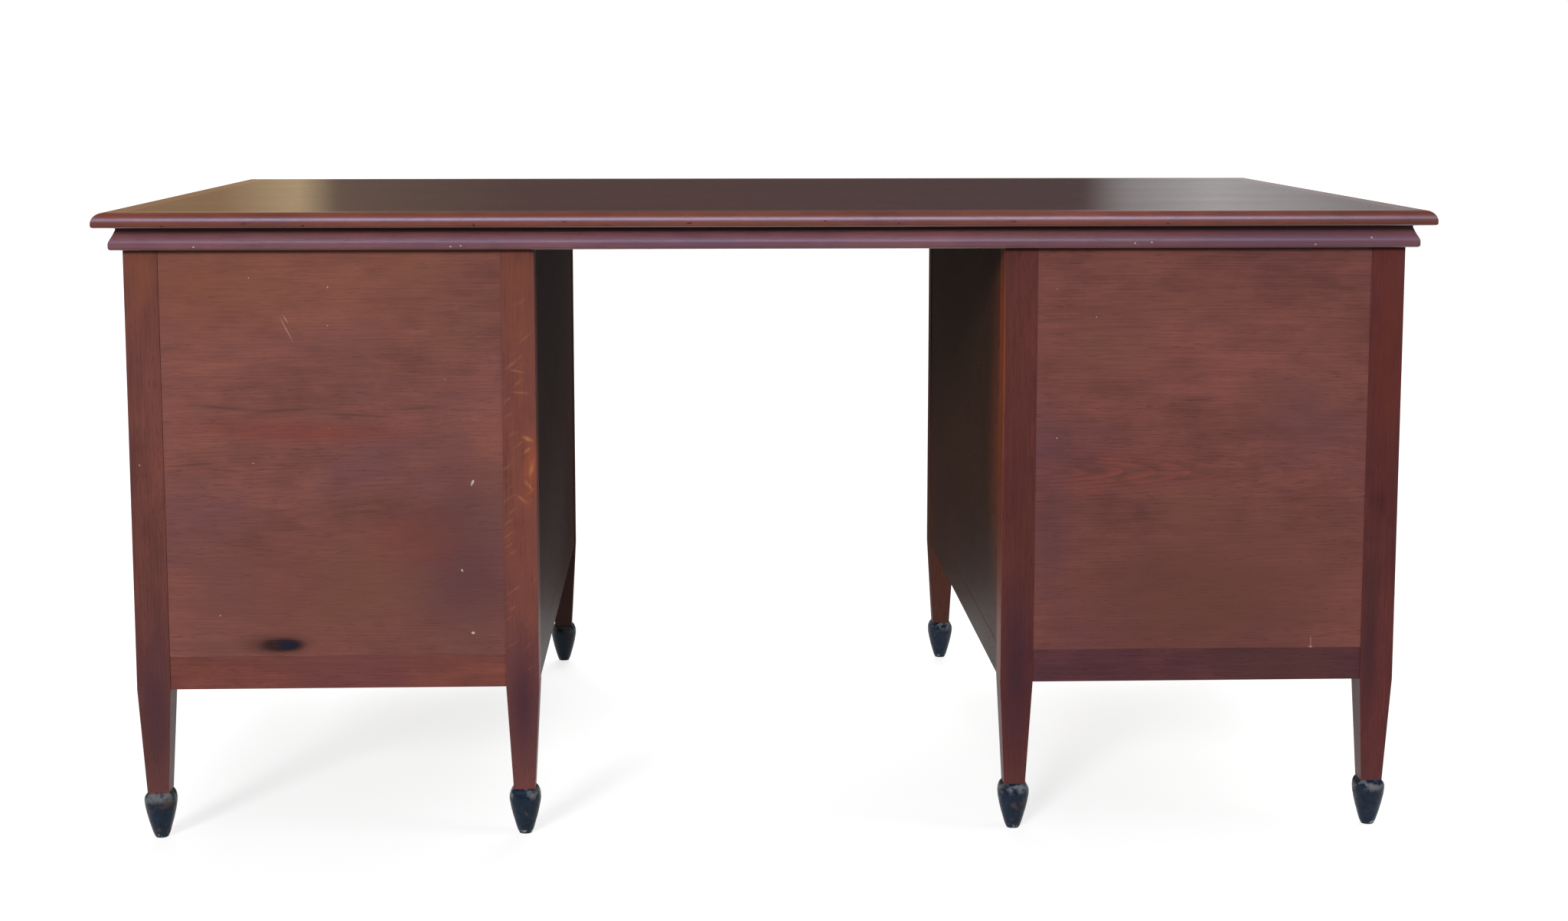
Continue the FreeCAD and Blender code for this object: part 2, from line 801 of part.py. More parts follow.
os.makedirs("parts", exist_ok=True)
for piece in pieces:
    piece.Shape.exportStep(f"parts/{piece.Label}.step")
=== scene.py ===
"""Pedestal desk in stained oak: finishes, softened edges, use marks and a plain stage."""

import math

import bpy
from bpy.props import FloatProperty, FloatVectorProperty, PointerProperty
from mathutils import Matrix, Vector


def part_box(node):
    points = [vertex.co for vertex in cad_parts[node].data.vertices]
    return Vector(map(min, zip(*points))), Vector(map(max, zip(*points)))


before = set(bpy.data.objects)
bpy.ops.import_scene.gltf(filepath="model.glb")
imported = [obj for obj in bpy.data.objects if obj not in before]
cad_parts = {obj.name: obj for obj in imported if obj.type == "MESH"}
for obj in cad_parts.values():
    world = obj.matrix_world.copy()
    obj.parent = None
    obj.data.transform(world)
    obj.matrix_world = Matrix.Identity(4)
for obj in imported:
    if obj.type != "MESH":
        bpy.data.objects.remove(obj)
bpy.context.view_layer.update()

bl_info = {
    "name": "Pedestal desk",
    "version": (1, 0, 0),
    "blender": (4, 5, 0),
    "location": "3D View > Sidebar > Desk",
    "description": "Finishes, softened edges and stage of a stained oak pedestal desk",
    "category": "Object",
}

MM = 0.001

# Names of the pieces in the frame
SIDES = ("left", "right")
LEVELS = ("top", "middle", "bottom")

# How a board lies: the turn that brings its grain to the X axis
ACROSS = (0, 0, 0)
DEEP = (0, 0, -math.pi / 2)
UPRIGHT = (0, math.pi / 2, 0)
# The rails and lippings that go round the desk, by the way they run
ROUND = ((ACROSS, ("front", "back")), (DEEP, SIDES))

# Oak's figure in millimetres, length along the grain and width across it
STAIN_CLOUD = (330, 130)
MOTTLE = (42, 19)
GROWTH_STREAK = (420, 8)
THICK_STAIN = (240, 150)
PLANED_WAVE = (420, 120)
RAY_STROKE = (26, 4.6)
RAY_PATCH = (55, 18)
# Real fibres and pores are about a third as wide, which is too fine to show in the picture
FIBRE = (60, 1.5)
PORE = (14, 1.05)
GRAIN_DEPTH = 0.35
RING_SPACING = 4.0
# Growth rings are long cones, so a board cuts them in arches this much narrower than long
RING_STRETCH = 0.10
# How much the rings tell in the tone of the stain
RING_SHARE = 0.05
# Rays lie slantwise to the grain, in degrees
RAY_SLANT = 38
# The shellac and varnish over the wood
VARNISH_IOR = 1.5

# Spatters of wall paint in millimetres: spacing, largest radius, and how far the outline wanders
SPATTER_SPACING = 46
SPATTER_RADIUS = 0.92
SPATTER_WAVE = 2.4
SPATTER_REACH = 1.6
# Each seed moves the spatters by this much, in metres
SPATTER_STEP = (0.37, 0.21, 0)

# Black stain on hardwood, and rust on steel, in millimetres
BRUSHED_BLOB = (6, 6)
BRUSH_STROKE = (40, 2.2)
KNOCK = (15, 15)
BRUSH_DEPTH = 0.4
TURNED_LINE = 1.4
RUST_SPOT = (3, 3)
RUST_DEPTH = 0.2
# A foot's shoulder, rubbed grey and with a painted highlight, from nothing to full, below the leg
SHOULDER = (15, 7)
# A foot's chipped toe, from nothing to full, above the floor
TOE = (6, 3)

# Corners of a piece that are closer than this are one, in millimetres
CLOSED_GAP = 0.01
# Edges that turn by more than this many degrees are rounded, in this many steps
EDGE_TURN = 40
EDGE_STEPS = 2
# How much more a large face counts than a small one in the shading of a rounded edge
EVEN_WEIGHT = 60
# Rounding of a screw's edges, and a drawer side's thickness with its play, in millimetres
SCREW_ROUNDING = 0.2
DRAWER_SIDE = 10.2

# The wave texture goes round once in this many of its own units
WAVE_TURN = 2 * math.pi / 20
# Each seed moves a pattern by this much of its patches
SEED_STEP = (7.31, 3.17, 5.73)
# Sockets of the mix node, for colours and for vectors
FACTOR, FIRST, SECOND, MIXED = 0, 6, 7, 2
FIRST_VECTOR, SECOND_VECTOR, MIXED_VECTOR = 4, 5, 1
# A range with soft ends
SOFT = {"interpolation_type": "SMOOTHSTEP"}

# Colours of the use marks
BLACK_STAIN, INK, SCRATCH, PAINT = "#2a1c1e", "#1c2032", "#a98478", "#c4b4a8"
PURPLE, WARM, DARK, REDDISH, BRUISE = "#513840", "#7d4a37", "#43302f", "#7b3a32", "#2e1611"

# Each mark: x and z of its middle, half its length and half its width in millimetres, its tilt in
# degrees, the soft share of it, its colour and its cover. On boards that run front to back, depth
# stands for x.
NICKS = tuple((x, z, length, 1.3, tilt, 0.5, BRUISE, 0.95) for x, z, length, tilt in (
    (-712, 749, 2.6, 20), (-617, 752, 3.2, -12), (-548, 750, 2.2, -30), (-349, 750, 2.8, 70),
    (-243, 754, 3.6, 8), (-96, 752, 4.2, -6), (64, 754, 2.6, 12), (151, 751, 2.0, 50),
    (287, 753, 3.8, -10), (471, 750, 2.4, 25),
))
MOULDING_MARKS = (
    (700, 735, 420, 60, 0, 1.0, "#5b3840", 0.6),
    # Painted shadow: a near-black band along the top of the moulding, just under the nosing
    (0, 748, 1600, 8, 0, 0.5, "#150c0a", 0.85),
    *((x, z, 1.5, 1.1, 0, 0.4, PAINT, 0.9) for x, z in (
        (-679, 724), (-378, 724), (-366, 725), (435, 726), (455, 727), (652, 724), (720, 732),
    )),
)
PANEL_MARKS = {
    "left": (
        # Painted shade: darker towards the bottom of the panel
        (-530, 310, 340, 140, 0, 1.0, "#683f37", 0.45),
        (-368, 350, 110, 190, 0, 1.0, PURPLE, 0.62),
        (-690, 670, 120, 70, 0, 1.0, WARM, 0.4),
        (-520, 690, 330, 150, 0, 1.0, "#88543f", 0.4),
        (-560, 503, 210, 22, 2, 1.0, REDDISH, 0.5),
        (-420, 370, 90, 60, 0, 1.0, REDDISH, 0.35),
        (-650, 531, 60, 3.5, 5, 1.0, DARK, 0.5),
        (-590, 527, 46, 3.5, -5, 1.0, DARK, 0.45),
        (-500, 522, 60, 2.5, 3, 1.0, DARK, 0.4),
        (-420, 530, 52, 3.5, -4, 1.0, DARK, 0.4),
        (-660, 512, 50, 2.0, 2, 1.0, DARK, 0.4),
        (-690, 463, 42, 2.2, -4, 1.0, DARK, 0.5),
        (-655, 456, 36, 2.0, 3, 1.0, DARK, 0.45),
        (-596, 242, 62, 20, 0, 1.0, BLACK_STAIN, 0.75),
        (-589, 242, 34, 11, 0, 0.6, BLACK_STAIN, 1.0),
        (-583, 242, 19, 8, 0, 0.8, INK, 1.0),
        (-575, 624, 20, 0.8, 63, 0.6, SCRATCH, 0.9),
        (-576, 637, 7, 0.8, 60, 0.6, SCRATCH, 0.8),
        (-358, 439, 4.5, 1.7, -65, 0.4, PAINT, 1.0),
        (-360, 255, 2.6, 1.8, 0, 0.4, PAINT, 0.9),
        (-372, 332, 2.4, 1.2, 60, 0.4, PAINT, 0.9),
    ),
    "right": (
        (650, 515, 90, 80, 0, 1.0, PURPLE, 0.4),
        (345, 400, 40, 200, 0, 1.0, PURPLE, 0.3),
        (560, 300, 170, 70, 0, 1.0, "#6a4234", 0.35),
        # Painted shade: darker towards the bottom of the panel
        (520, 290, 340, 150, 0, 1.0, "#573631", 0.55),
        (663, 236, 9, 0.8, 90, 0.6, SCRATCH, 0.5),
        (663, 229, 2.4, 2.0, 0, 0.4, SCRATCH, 0.8),
    ),
}
POST_MARKS = {
    "left_outer": (
        (-745, 150, 34, 170, 0, 1.0, "#3d2a34", 0.65),
        (-745, 700, 34, 110, 0, 1.0, WARM, 0.7),
    ),
    "left_inner": (
        (-301, 480, 60, 460, 0, 1.0, "#80493b", 0.6),
        (-301, 690, 40, 150, 0, 1.0, "#854a30", 0.5),
        (-301, 170, 30, 120, 0, 1.0, "#3d2733", 0.75),
        (-287, 455, 14, 62, 5, 1.0, "#975036", 0.7),
    ),
    "right_inner": (
        (301, 190, 30, 190, 0, 1.0, "#3d2630", 0.8),
        # Painted light: orange-red on the leg's side that faces the kneehole, where light from the
        # front-left falls
        (281, 560, 1.6, 190, 0, 0.6, "#8c3f1c", 1.0),
        (281, 330, 1.6, 200, 0, 0.6, "#74301c", 0.8),
    ),
    "right_outer": (
        (745, 590, 40, 240, 0, 1.0, "#622c22", 0.6),
        (735, 240, 18, 200, 0, 1.0, "#3d2529", 0.7),
    ),
}
# Painted light and shade on the kneehole panels
KNEEHOLE_LIGHT_AND_SHADE = {
    "left": (
        # Painted sheen: grey low down on the left kneehole panel
        (-100, 330, 420, 190, 0, 1.0, "#5d5150", 0.5),
    ),
    "right": (
        # Painted shade: dark at the far top of the right kneehole panel, under the top
        (380, 660, 620, 330, 0, 1.0, "#150e0c", 0.85),
        # Painted light: orange near the open edge, where light falls in
        (-460, 480, 170, 330, 0, 1.0, "#86452f", 0.85),
    ),
}
# Single rays on the left inner post, as marks without their colour
RAY_MARKS = (
    (-291, 492, 10, 4.0, 25, 1.0, 0.75),
    (-292, 478, 8, 3.0, -40, 1.0, 0.6),
    (-287, 455, 4, 13, 14, 1.0, 0.6),
    (-291, 436, 11, 3.2, 50, 1.0, 0.6),
    (-299, 419, 12, 3.0, 38, 1.0, 0.45),
    (-304, 574, 16, 2.2, 12, 1.0, 0.4),
    (-300, 548, 17, 2.2, 4, 1.0, 0.35),
)
# Where rays and arches show, as marks without colour and cover
RAY_AREA = (-297, 430, 34, 300, 0, 0.4)
ARCH_AREA = (400, 449, 190, 44, 0, 0.9)
ARCH_RED = "#8a433a"
# The middle of the growth rings behind each back panel, in millimetres
PITH = {"left": (-200, -440, 390), "right": (290, -467, 447)}

# The room that only the polish shows, in metres: half widths, and each sheet's section by depth and
# height
ROOM_HALF, GROUND_HALF, SKY_HALF = 2.6, 6.0, 2.1
FAR_END = ((0.75, 0.01), (2.4, 0.01), (2.4, 2.6))
CEILING = ((2.4, 2.6), (-1.6, 2.6))
GROUND = ((-0.6, 0.01), (-4.1, 0.01), (-4.1, 6.2))
SKY_PATCH = ((-4.0, 2.7), (-4.0, 5.6))
SKY_GLOW = 4.4
# Colours along the far end, by x in metres: sunlit at the left, and a pale wall at the right
FAR_COLOURS = (
    (-1.2, "#9c8262"), (-1.02, "#c9b28c"), (-0.93, "#6a5f54"), (-0.5, "#544a47"),
    (0.84, "#4d474a"), (0.94, "#989798"), (1.15, "#c0c0c1"), (1.5, "#989799"),
)

# Lamps: the spread of their light in degrees and the way it goes
KEY_LIGHT = (14, (0.355, 0.875, -0.33))
BACK_LIGHT = (45, (-0.10, -0.80, -0.59))
SIDE_LIGHT = (45, (-0.88, 0.05, -0.47))
DAYLIGHT = (0.94, 0.97, 1.0)
WHITE = (1.0, 1.0, 1.0)
# Floor: half its width and its level in metres
FLOOR_REACH, FLOOR_LEVEL = 60.0, -0.2 * MM
# Floor: its own glow, and the shares of the light that it shows and that it throws back
FLOOR_GLOW, FLOOR_SHOWN, FLOOR_BOUNCE = 0.75, 0.40, 0.22
SENSOR_WIDTH = 36.0


def linear(code):
    """Turn an sRGB hex colour into the linear values that a shader takes."""
    parts = [int(code[i:i + 2], 16) / 255 for i in (1, 3, 5)]
    return tuple(c / 12.92 if c <= 0.04045 else ((c + 0.055) / 1.055) ** 2.4 for c in parts)


def tinted(colour, red, green, blue):
    """A colour with each channel scaled."""
    return (colour[0] * red, colour[1] * green, colour[2] * blue)


def opaque(colour):
    """A linear colour or a hex colour with full cover, as colour sockets take it."""
    plain = linear(colour) if isinstance(colour, str) else colour[:3]
    return (*plain, 1.0)


def put(tree, kind, sockets=(), out=0, stops=(), **settings):
    """Add a node with its settings, values and links, and give back one of its outputs.

    Sockets are values, or the outputs that they come from, in order or by name or number.
    """
    node = tree.nodes.new("ShaderNode" + kind)
    for key, value in settings.items():
        setattr(node, key, value)
    keyed = sockets if isinstance(sockets, dict) else dict(enumerate(sockets))
    for key, value in keyed.items():
        if isinstance(value, bpy.types.NodeSocket):
            tree.links.new(value, node.inputs[key])
        else:
            node.inputs[key].default_value = value
    if stops:
        ramp = node.color_ramp.elements
        while len(ramp) < len(stops):
            ramp.new(1.0)
        for element, (position, colour) in zip(ramp, stops):
            element.position = position
            element.color = opaque(colour)
    return node.outputs[out] if node.outputs else None


def new_finish(name):
    """An empty material and its nodes."""
    material = bpy.data.materials.new(name)
    material.use_nodes = True
    material.node_tree.nodes.clear()
    return material, material.node_tree


def drawn_out(tree, board, size, seed, detail=2.0):
    """Noise whose patches have a length along the grain and a width across it, in millimetres."""
    length, width = (1 / (MM * s) for s in size)
    place = put(tree, "Mapping", {
        "Vector": board,
        "Location": tuple(seed * step for step in SEED_STEP),
        "Scale": (length, width, width),
    })
    return put(tree, "TexNoise", {"Vector": place, "Scale": 1.0, "Detail": detail})


def blended(tree, *shares):
    """Blend patterns and values, each by its own share."""
    total = 0.0
    for value, share in shares:
        total = put(tree, "Math", (value, share, total), operation="MULTIPLY_ADD")
    return total


def painted(tree, under, paint, *covers, how="MIX"):
    """Lay a paint, a colour or a pattern, over a colour as far as all its covers say."""
    cover = covers[0]
    for further in covers[1:]:
        cover = put(tree, "Math", (cover, further), operation="MULTIPLY")
    over = paint if isinstance(paint, bpy.types.NodeSocket) else opaque(paint)
    layers = {FACTOR: cover, FIRST: under, SECOND: over}
    return put(tree, "Mix", layers, MIXED, data_type="RGBA", blend_type=how)


def spot(tree, place, mark):
    """Cover of one mark, one in its middle and nought outside it."""
    x, z, length, width, tilt, soft = mark
    local = put(tree, "Mapping", {
        "Vector": place,
        "Location": (x * MM, 0, z * MM),
        "Rotation": (0, math.radians(tilt), 0),
        "Scale": (length * MM, 1.0, width * MM),
    }, vector_type="TEXTURE")
    flat = put(tree, "VectorMath", (local, (1, 0, 1)), operation="MULTIPLY")
    far = put(tree, "VectorMath", (flat,), "Value", operation="LENGTH")
    return put(tree, "MapRange", (far, 1.0 - soft, 1.0, 1.0, 0.0), **SOFT)


def box_grain(tree, place, across, sides_at):
    """Grain of a drawer box: the two sides run front to back, the back and bottom run across."""
    middle, half = sides_at
    off = put(tree, "SeparateXYZ", (place,), "X")
    off = put(tree, "Math", (off,), operation="ABSOLUTE")
    off = put(tree, "Math", (off, middle), operation="SUBTRACT")
    off = put(tree, "Math", (off,), operation="ABSOLUTE")
    on_side = put(tree, "Math", (off, half), operation="GREATER_THAN")
    deep = put(tree, "Mapping", {"Vector": place, "Rotation": DEEP})
    boards = {FACTOR: on_side, FIRST_VECTOR: across, SECOND_VECTOR: deep}
    return put(tree, "Mix", boards, MIXED_VECTOR, data_type="VECTOR")


def growth_rings(tree, board, pith, seed):
    """Rings of a trunk that lies along the grain, round its pith in millimetres."""
    x, y, z = pith
    trunk = put(tree, "Mapping", {
        "Vector": board,
        "Location": (-x * RING_STRETCH * MM, -y * MM, -z * MM),
        "Scale": (RING_STRETCH, 1, 1),
    })
    return put(tree, "TexWave", {
        "Vector": trunk, "Scale": WAVE_TURN / (RING_SPACING * MM), "Distortion": 9.0,
        "Detail": 2.0, "Detail Scale": 0.27, "Phase Offset": float(seed),
    }, "Fac", wave_type="RINGS", rings_direction="SPHERICAL", wave_profile="SAW")


def spattered(tree, colour, place, seed, flecks):
    """Old wall paint in ragged spatters, on the share of the places that flecks says."""
    wall = put(tree, "Mapping", {
        "Vector": place,
        "Location": tuple(seed * step for step in SPATTER_STEP),
        "Rotation": (-math.pi / 2, 0, 0),
    })
    ragged = put(tree, "TexNoise", {
        "Vector": wall, "Scale": 1 / (SPATTER_WAVE * MM), "Detail": 1.0,
    }, "Color")
    reach = (SPATTER_REACH * MM,) * 3
    wall = put(tree, "VectorMath", (ragged, reach, wall), operation="MULTIPLY_ADD")
    cells = put(tree, "TexVoronoi", {
        "Vector": wall, "Scale": 1 / (SPATTER_SPACING * MM),
    }, voronoi_dimensions="2D").node.outputs
    chance = put(tree, "SeparateColor", (cells["Color"],))
    largest = SPATTER_RADIUS / SPATTER_SPACING
    size = put(tree, "MapRange", (chance, 1.0 - flecks, 1.0, 0.0, largest), **SOFT)
    near = put(tree, "Math", (cells["Distance"], size), operation="LESS_THAN")
    return painted(tree, colour, "#b9a79b", near, 0.8)


def stained_oak(name, body, run, seed, gloss=(0.40, 0.52), pith=(0, 0, 0), pores=0.45, marks=(),
                arches=None, rays=None, flecks=0.0, specular=0.20, polish=0.0, relief=0.35,
                sway=0.0, sides_at=None):
    """Oak, planed, stained and wax polished.

    The stain takes unevenly, so the tone drifts in long clouds and a finer mottle and turns to
    purple where it lies thick; open pores stay dark as fine dashes along the grain; the wax gives a
    satin surface that is duller in the pores; rubbed coats of shellac make mouldings shine.
    """
    material, tree = new_finish(name)
    place = put(tree, "TexCoord", out="Object")
    board = put(tree, "Mapping", {"Vector": place, "Rotation": run})
    # Marks lie on the face that is seen: by depth and height on boards that run front to back
    face = board if run == DEEP else place
    if sides_at:
        board = box_grain(tree, place, board, sides_at)
    clouds = drawn_out(tree, board, STAIN_CLOUD, seed, 4.0)
    mottle = drawn_out(tree, board, MOTTLE, seed + 4, 3.0)
    streaks = drawn_out(tree, board, GROWTH_STREAK, seed + 1, 3.0)
    fibres = drawn_out(tree, board, FIBRE, seed + 2)
    dashes = drawn_out(tree, board, PORE, seed + 3, 1.0)
    rings = growth_rings(tree, board, pith, seed)
    tone = blended(tree, (clouds, 0.54), (mottle, 0.34), (streaks, 0.12),
                   (rings, RING_SHARE), (-0.5, RING_SHARE))
    dark, light = tinted(body, 0.63, 0.65, 0.70), tinted(body, 1.36, 1.31, 1.22)
    colour = put(tree, "ValToRGB", (tone,), stops=((0.30, dark), (0.5, body), (0.70, light)))
    # Old stain turns purple where it lies thick, and brown where it is worn thin
    age = drawn_out(tree, board, THICK_STAIN, seed + 7, 4.0)
    thick = put(tree, "MapRange", (age, 0.50, 0.70, 0.0, 0.7), **SOFT)
    thin = put(tree, "MapRange", (age, 0.30, 0.48, 0.7, 0.0), **SOFT)
    colour = painted(tree, colour, tinted(body, 0.80, 0.88, 1.18), thick)
    colour = painted(tree, colour, tinted(body, 1.0, 1.12, 0.94), thin)
    shade = put(tree, "MapRange", (fibres, 0.30, 0.70, 0.92, 1.08), **SOFT)
    colour = painted(tree, colour, shade, 1.0, how="MULTIPLY")
    open_pores = put(tree, "MapRange", (dashes, 0.58, 0.70), **SOFT)
    crowded = put(tree, "MapRange", (streaks, 0.40, 0.60, 0.35, 1.0), **SOFT)
    open_pores = put(tree, "Math", (open_pores, crowded), operation="MULTIPLY")
    colour = painted(tree, colour, tinted(body, 0.40, 0.42, 0.50), open_pores, pores)
    if arches:
        # Flat-sawn face: the rings end in arches, redder in the late wood
        arch_colour, arch_area = arches
        late = put(tree, "MapRange", (rings, 0.35, 0.95), **SOFT)
        patches = put(tree, "MapRange", (mottle, 0.36, 0.56), **SOFT)
        area = spot(tree, face, arch_area)
        colour = painted(tree, colour, arch_colour, late, patches, area, 0.62)
    if rays:
        # Quarter-sawn face: the medullary rays show as short golden flecks, slantwise to the grain
        ray_colour, ray_area = rays
        slant = put(tree, "Mapping", {"Vector": place, "Rotation": (0, math.radians(RAY_SLANT), 0)})
        strokes = drawn_out(tree, slant, RAY_STROKE, seed + 5, 1.0)
        strokes = put(tree, "MapRange", (strokes, 0.54, 0.76), **SOFT)
        patches = drawn_out(tree, board, RAY_PATCH, seed + 6, 2.0)
        patches = put(tree, "MapRange", (patches, 0.44, 0.58), **SOFT)
        area = spot(tree, face, ray_area)
        colour = painted(tree, colour, ray_colour, strokes, patches, area, 0.42)
    if marks:
        # The grain breaks up what lies on it
        broken = blended(tree, (fibres, 0.5), (mottle, 0.5))
        broken = put(tree, "MapRange", (broken, 0.34, 0.52, 0.5, 1.0), **SOFT)
        for *mark, paint, cover in marks:
            colour = painted(tree, colour, paint, spot(tree, face, mark), broken, cover)
    if flecks:
        colour = spattered(tree, colour, place, seed, flecks)
    rough = blended(tree, (clouds, gloss[1] - gloss[0]), (open_pores, 0.15), (gloss[0], 1.0))
    height = blended(tree, (fibres, 0.35), (open_pores, -0.6))
    bump = put(tree, "Bump", {"Strength": relief, "Distance": GRAIN_DEPTH * MM, "Height": height})
    if sway:
        # A hand-planed board isn't quite flat, and its polish shows that
        slow = drawn_out(tree, board, PLANED_WAVE, seed + 6, 1.0)
        bump = put(tree, "Bump", {
            "Strength": 1.0, "Distance": sway * MM, "Height": slow, "Normal": bump,
        })
    shader = put(tree, "BsdfPrincipled", {
        "Base Color": colour, "Roughness": rough, "Normal": bump, "IOR": VARNISH_IOR,
        "Specular IOR Level": specular, "Coat Weight": polish, "Coat Roughness": gloss[0],
    })
    put(tree, "OutputMaterial", {"Surface": shader})
    return material


def ebonised_wood(name, body, worn, scuffs_and_highlight=0.0, turned=False):
    """Hardwood, turned or carved and brushed with black stain and varnish.

    The brushed coat is a satin blue-black. Knocks take it off in small patches down to the brown
    wood, and the shoulders are rubbed grey, with a painted highlight in the same grey.
    """
    material, tree = new_finish(name)
    place = put(tree, "TexCoord", out="Object")
    brushed = drawn_out(tree, place, BRUSHED_BLOB, 1, 3.0)
    knocks = drawn_out(tree, place, KNOCK, 4, 1.5)
    upright = put(tree, "Mapping", {"Vector": place, "Rotation": UPRIGHT})
    strokes = drawn_out(tree, upright, BRUSH_STROKE, 2, 2.0)
    shade = blended(tree, (brushed, 0.6), (strokes, 0.4))
    dark, light = tinted(body, 0.62, 0.64, 0.68), tinted(body, 1.55, 1.5, 1.45)
    colour = put(tree, "ValToRGB", (shade,), stops=((0.36, dark), (0.52, body), (0.68, light)))
    bare = put(tree, "MapRange", (knocks, 0.60, 0.74), **SOFT)
    colour = painted(tree, colour, worn, bare, 0.8)
    if scuffs_and_highlight:
        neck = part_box("left_leg_back_outer")[0].z
        level = put(tree, "SeparateXYZ", (place,), "Z")
        start, full = (neck - below * MM for below in SHOULDER)
        shoulder = put(tree, "MapRange", (level, start, full), **SOFT)
        patchy = blended(tree, (brushed, 0.5), (knocks, 0.5))
        patchy = put(tree, "MapRange", (patchy, 0.46, 0.60), **SOFT)
        # Grey on the shoulder: scuffs, and a painted highlight where it faces up to the light
        colour = painted(tree, colour, "#77797b", shoulder, patchy, scuffs_and_highlight)
        end, full = (above * MM for above in TOE)
        toe = put(tree, "MapRange", (level, full, end, 1.0, 0.0), **SOFT)
        chips = put(tree, "MapRange", (brushed, 0.56, 0.62), **SOFT)
        colour = painted(tree, colour, "#a8a39c", toe, chips, 0.8)
    rough = blended(tree, (strokes, 0.22), (bare, 0.25), (0.25, 1.0))
    height = blended(tree, (strokes, 0.5), (bare, -0.6))
    if turned:
        # Fine lines that the turning tool left round the knob
        lines = put(tree, "TexWave", {
            "Vector": place, "Scale": WAVE_TURN / (TURNED_LINE * MM), "Distortion": 0.4,
        }, "Fac", wave_type="BANDS", bands_direction="Y", wave_profile="SIN")
        height = blended(tree, (height, 1.0), (lines, 0.15))
    bump = put(tree, "Bump", {"Strength": 0.4, "Distance": BRUSH_DEPTH * MM, "Height": height})
    shader = put(tree, "BsdfPrincipled", {
        "Base Color": colour, "Roughness": rough, "Normal": bump, "IOR": VARNISH_IOR,
        "Specular IOR Level": 0.16,
    })
    put(tree, "OutputMaterial", {"Surface": shader})
    return material


def screw_steel(name, body):
    """Mild steel, cold formed and left bare: dull grey metal, browned in spots by old rust."""
    material, tree = new_finish(name)
    place = put(tree, "TexCoord", out="Object")
    rust = drawn_out(tree, place, RUST_SPOT, 3, 3.0)
    spots = put(tree, "MapRange", (rust, 0.55, 0.68), **SOFT)
    colour = painted(tree, opaque(body), "#5b4233", spots, 0.8)
    rough = put(tree, "MapRange", (rust, 0.3, 0.7, 0.32, 0.6), **SOFT)
    bump = put(tree, "Bump", {"Strength": 0.3, "Distance": RUST_DEPTH * MM, "Height": rust})
    shader = put(tree, "BsdfPrincipled", {
        "Base Color": colour, "Roughness": rough, "Normal": bump, "Metallic": 1.0,
    })
    put(tree, "OutputMaterial", {"Surface": shader})
    return material


def smooth_shading():
    """The node group that shades a piece smoothly over its rounded edges."""
    group = bpy.data.node_groups.get("smooth shading")
    if group:
        return group
    group = bpy.data.node_groups.new("smooth shading", "GeometryNodeTree")
    for way in ("INPUT", "OUTPUT"):
        group.interface.new_socket("Geometry", in_out=way, socket_type="NodeSocketGeometry")
    start, smooth, end = (group.nodes.new(kind) for kind in (
        "NodeGroupInput", "GeometryNodeSetShadeSmooth", "NodeGroupOutput"))
    group.links.new(start.outputs[0], smooth.inputs[0])
    group.links.new(smooth.outputs[0], end.inputs[0])
    return group


def dress(name, surface, rounding, edge_wear_and_highlight=None):
    """Give one piece of the frame its finish, and round its edges as sanding and use do."""
    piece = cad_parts[name]
    if not piece.data.materials:
        piece.data.materials.append(surface)
    for place in piece.material_slots:
        place.link = "OBJECT"
        place.material = surface
    weld = piece.modifiers.new("closed corners", "WELD")
    weld.merge_threshold = CLOSED_GAP * MM
    rounded = piece.modifiers.new("softened edges", "BEVEL")
    rounded.width = rounding
    rounded.segments = EDGE_STEPS
    rounded.limit_method = "ANGLE"
    rounded.angle_limit = math.radians(EDGE_TURN)
    # The rounded edges take a lighter colour: rubbed-through stain and a painted highlight
    if edge_wear_and_highlight:
        piece.data.materials.append(edge_wear_and_highlight)
        last = len(piece.material_slots) - 1
        piece.material_slots[last].link = "OBJECT"
        piece.material_slots[last].material = edge_wear_and_highlight
        rounded.material = last
    piece.modifiers.new("smooth shading", "NODES").node_group = smooth_shading()
    even = piece.modifiers.new("even shading", "WEIGHTED_NORMAL")
    even.weight = EVEN_WEIGHT


def colour_value(label, description, code):
    """A colour that a user can change."""
    return FloatVectorProperty(
        name=label, description=description, subtype="COLOR", size=3, min=0, max=1,
        default=linear(code))


def length_value(label, description, millimetres):
    """A length that a user can change."""
    return FloatProperty(
        name=label, description=description, default=millimetres * MM, min=0, unit="LENGTH")


def strength_value(label, description, strength):
    """A light's strength that a user can change."""
    return FloatProperty(name=label, description=description, default=strength, min=0)


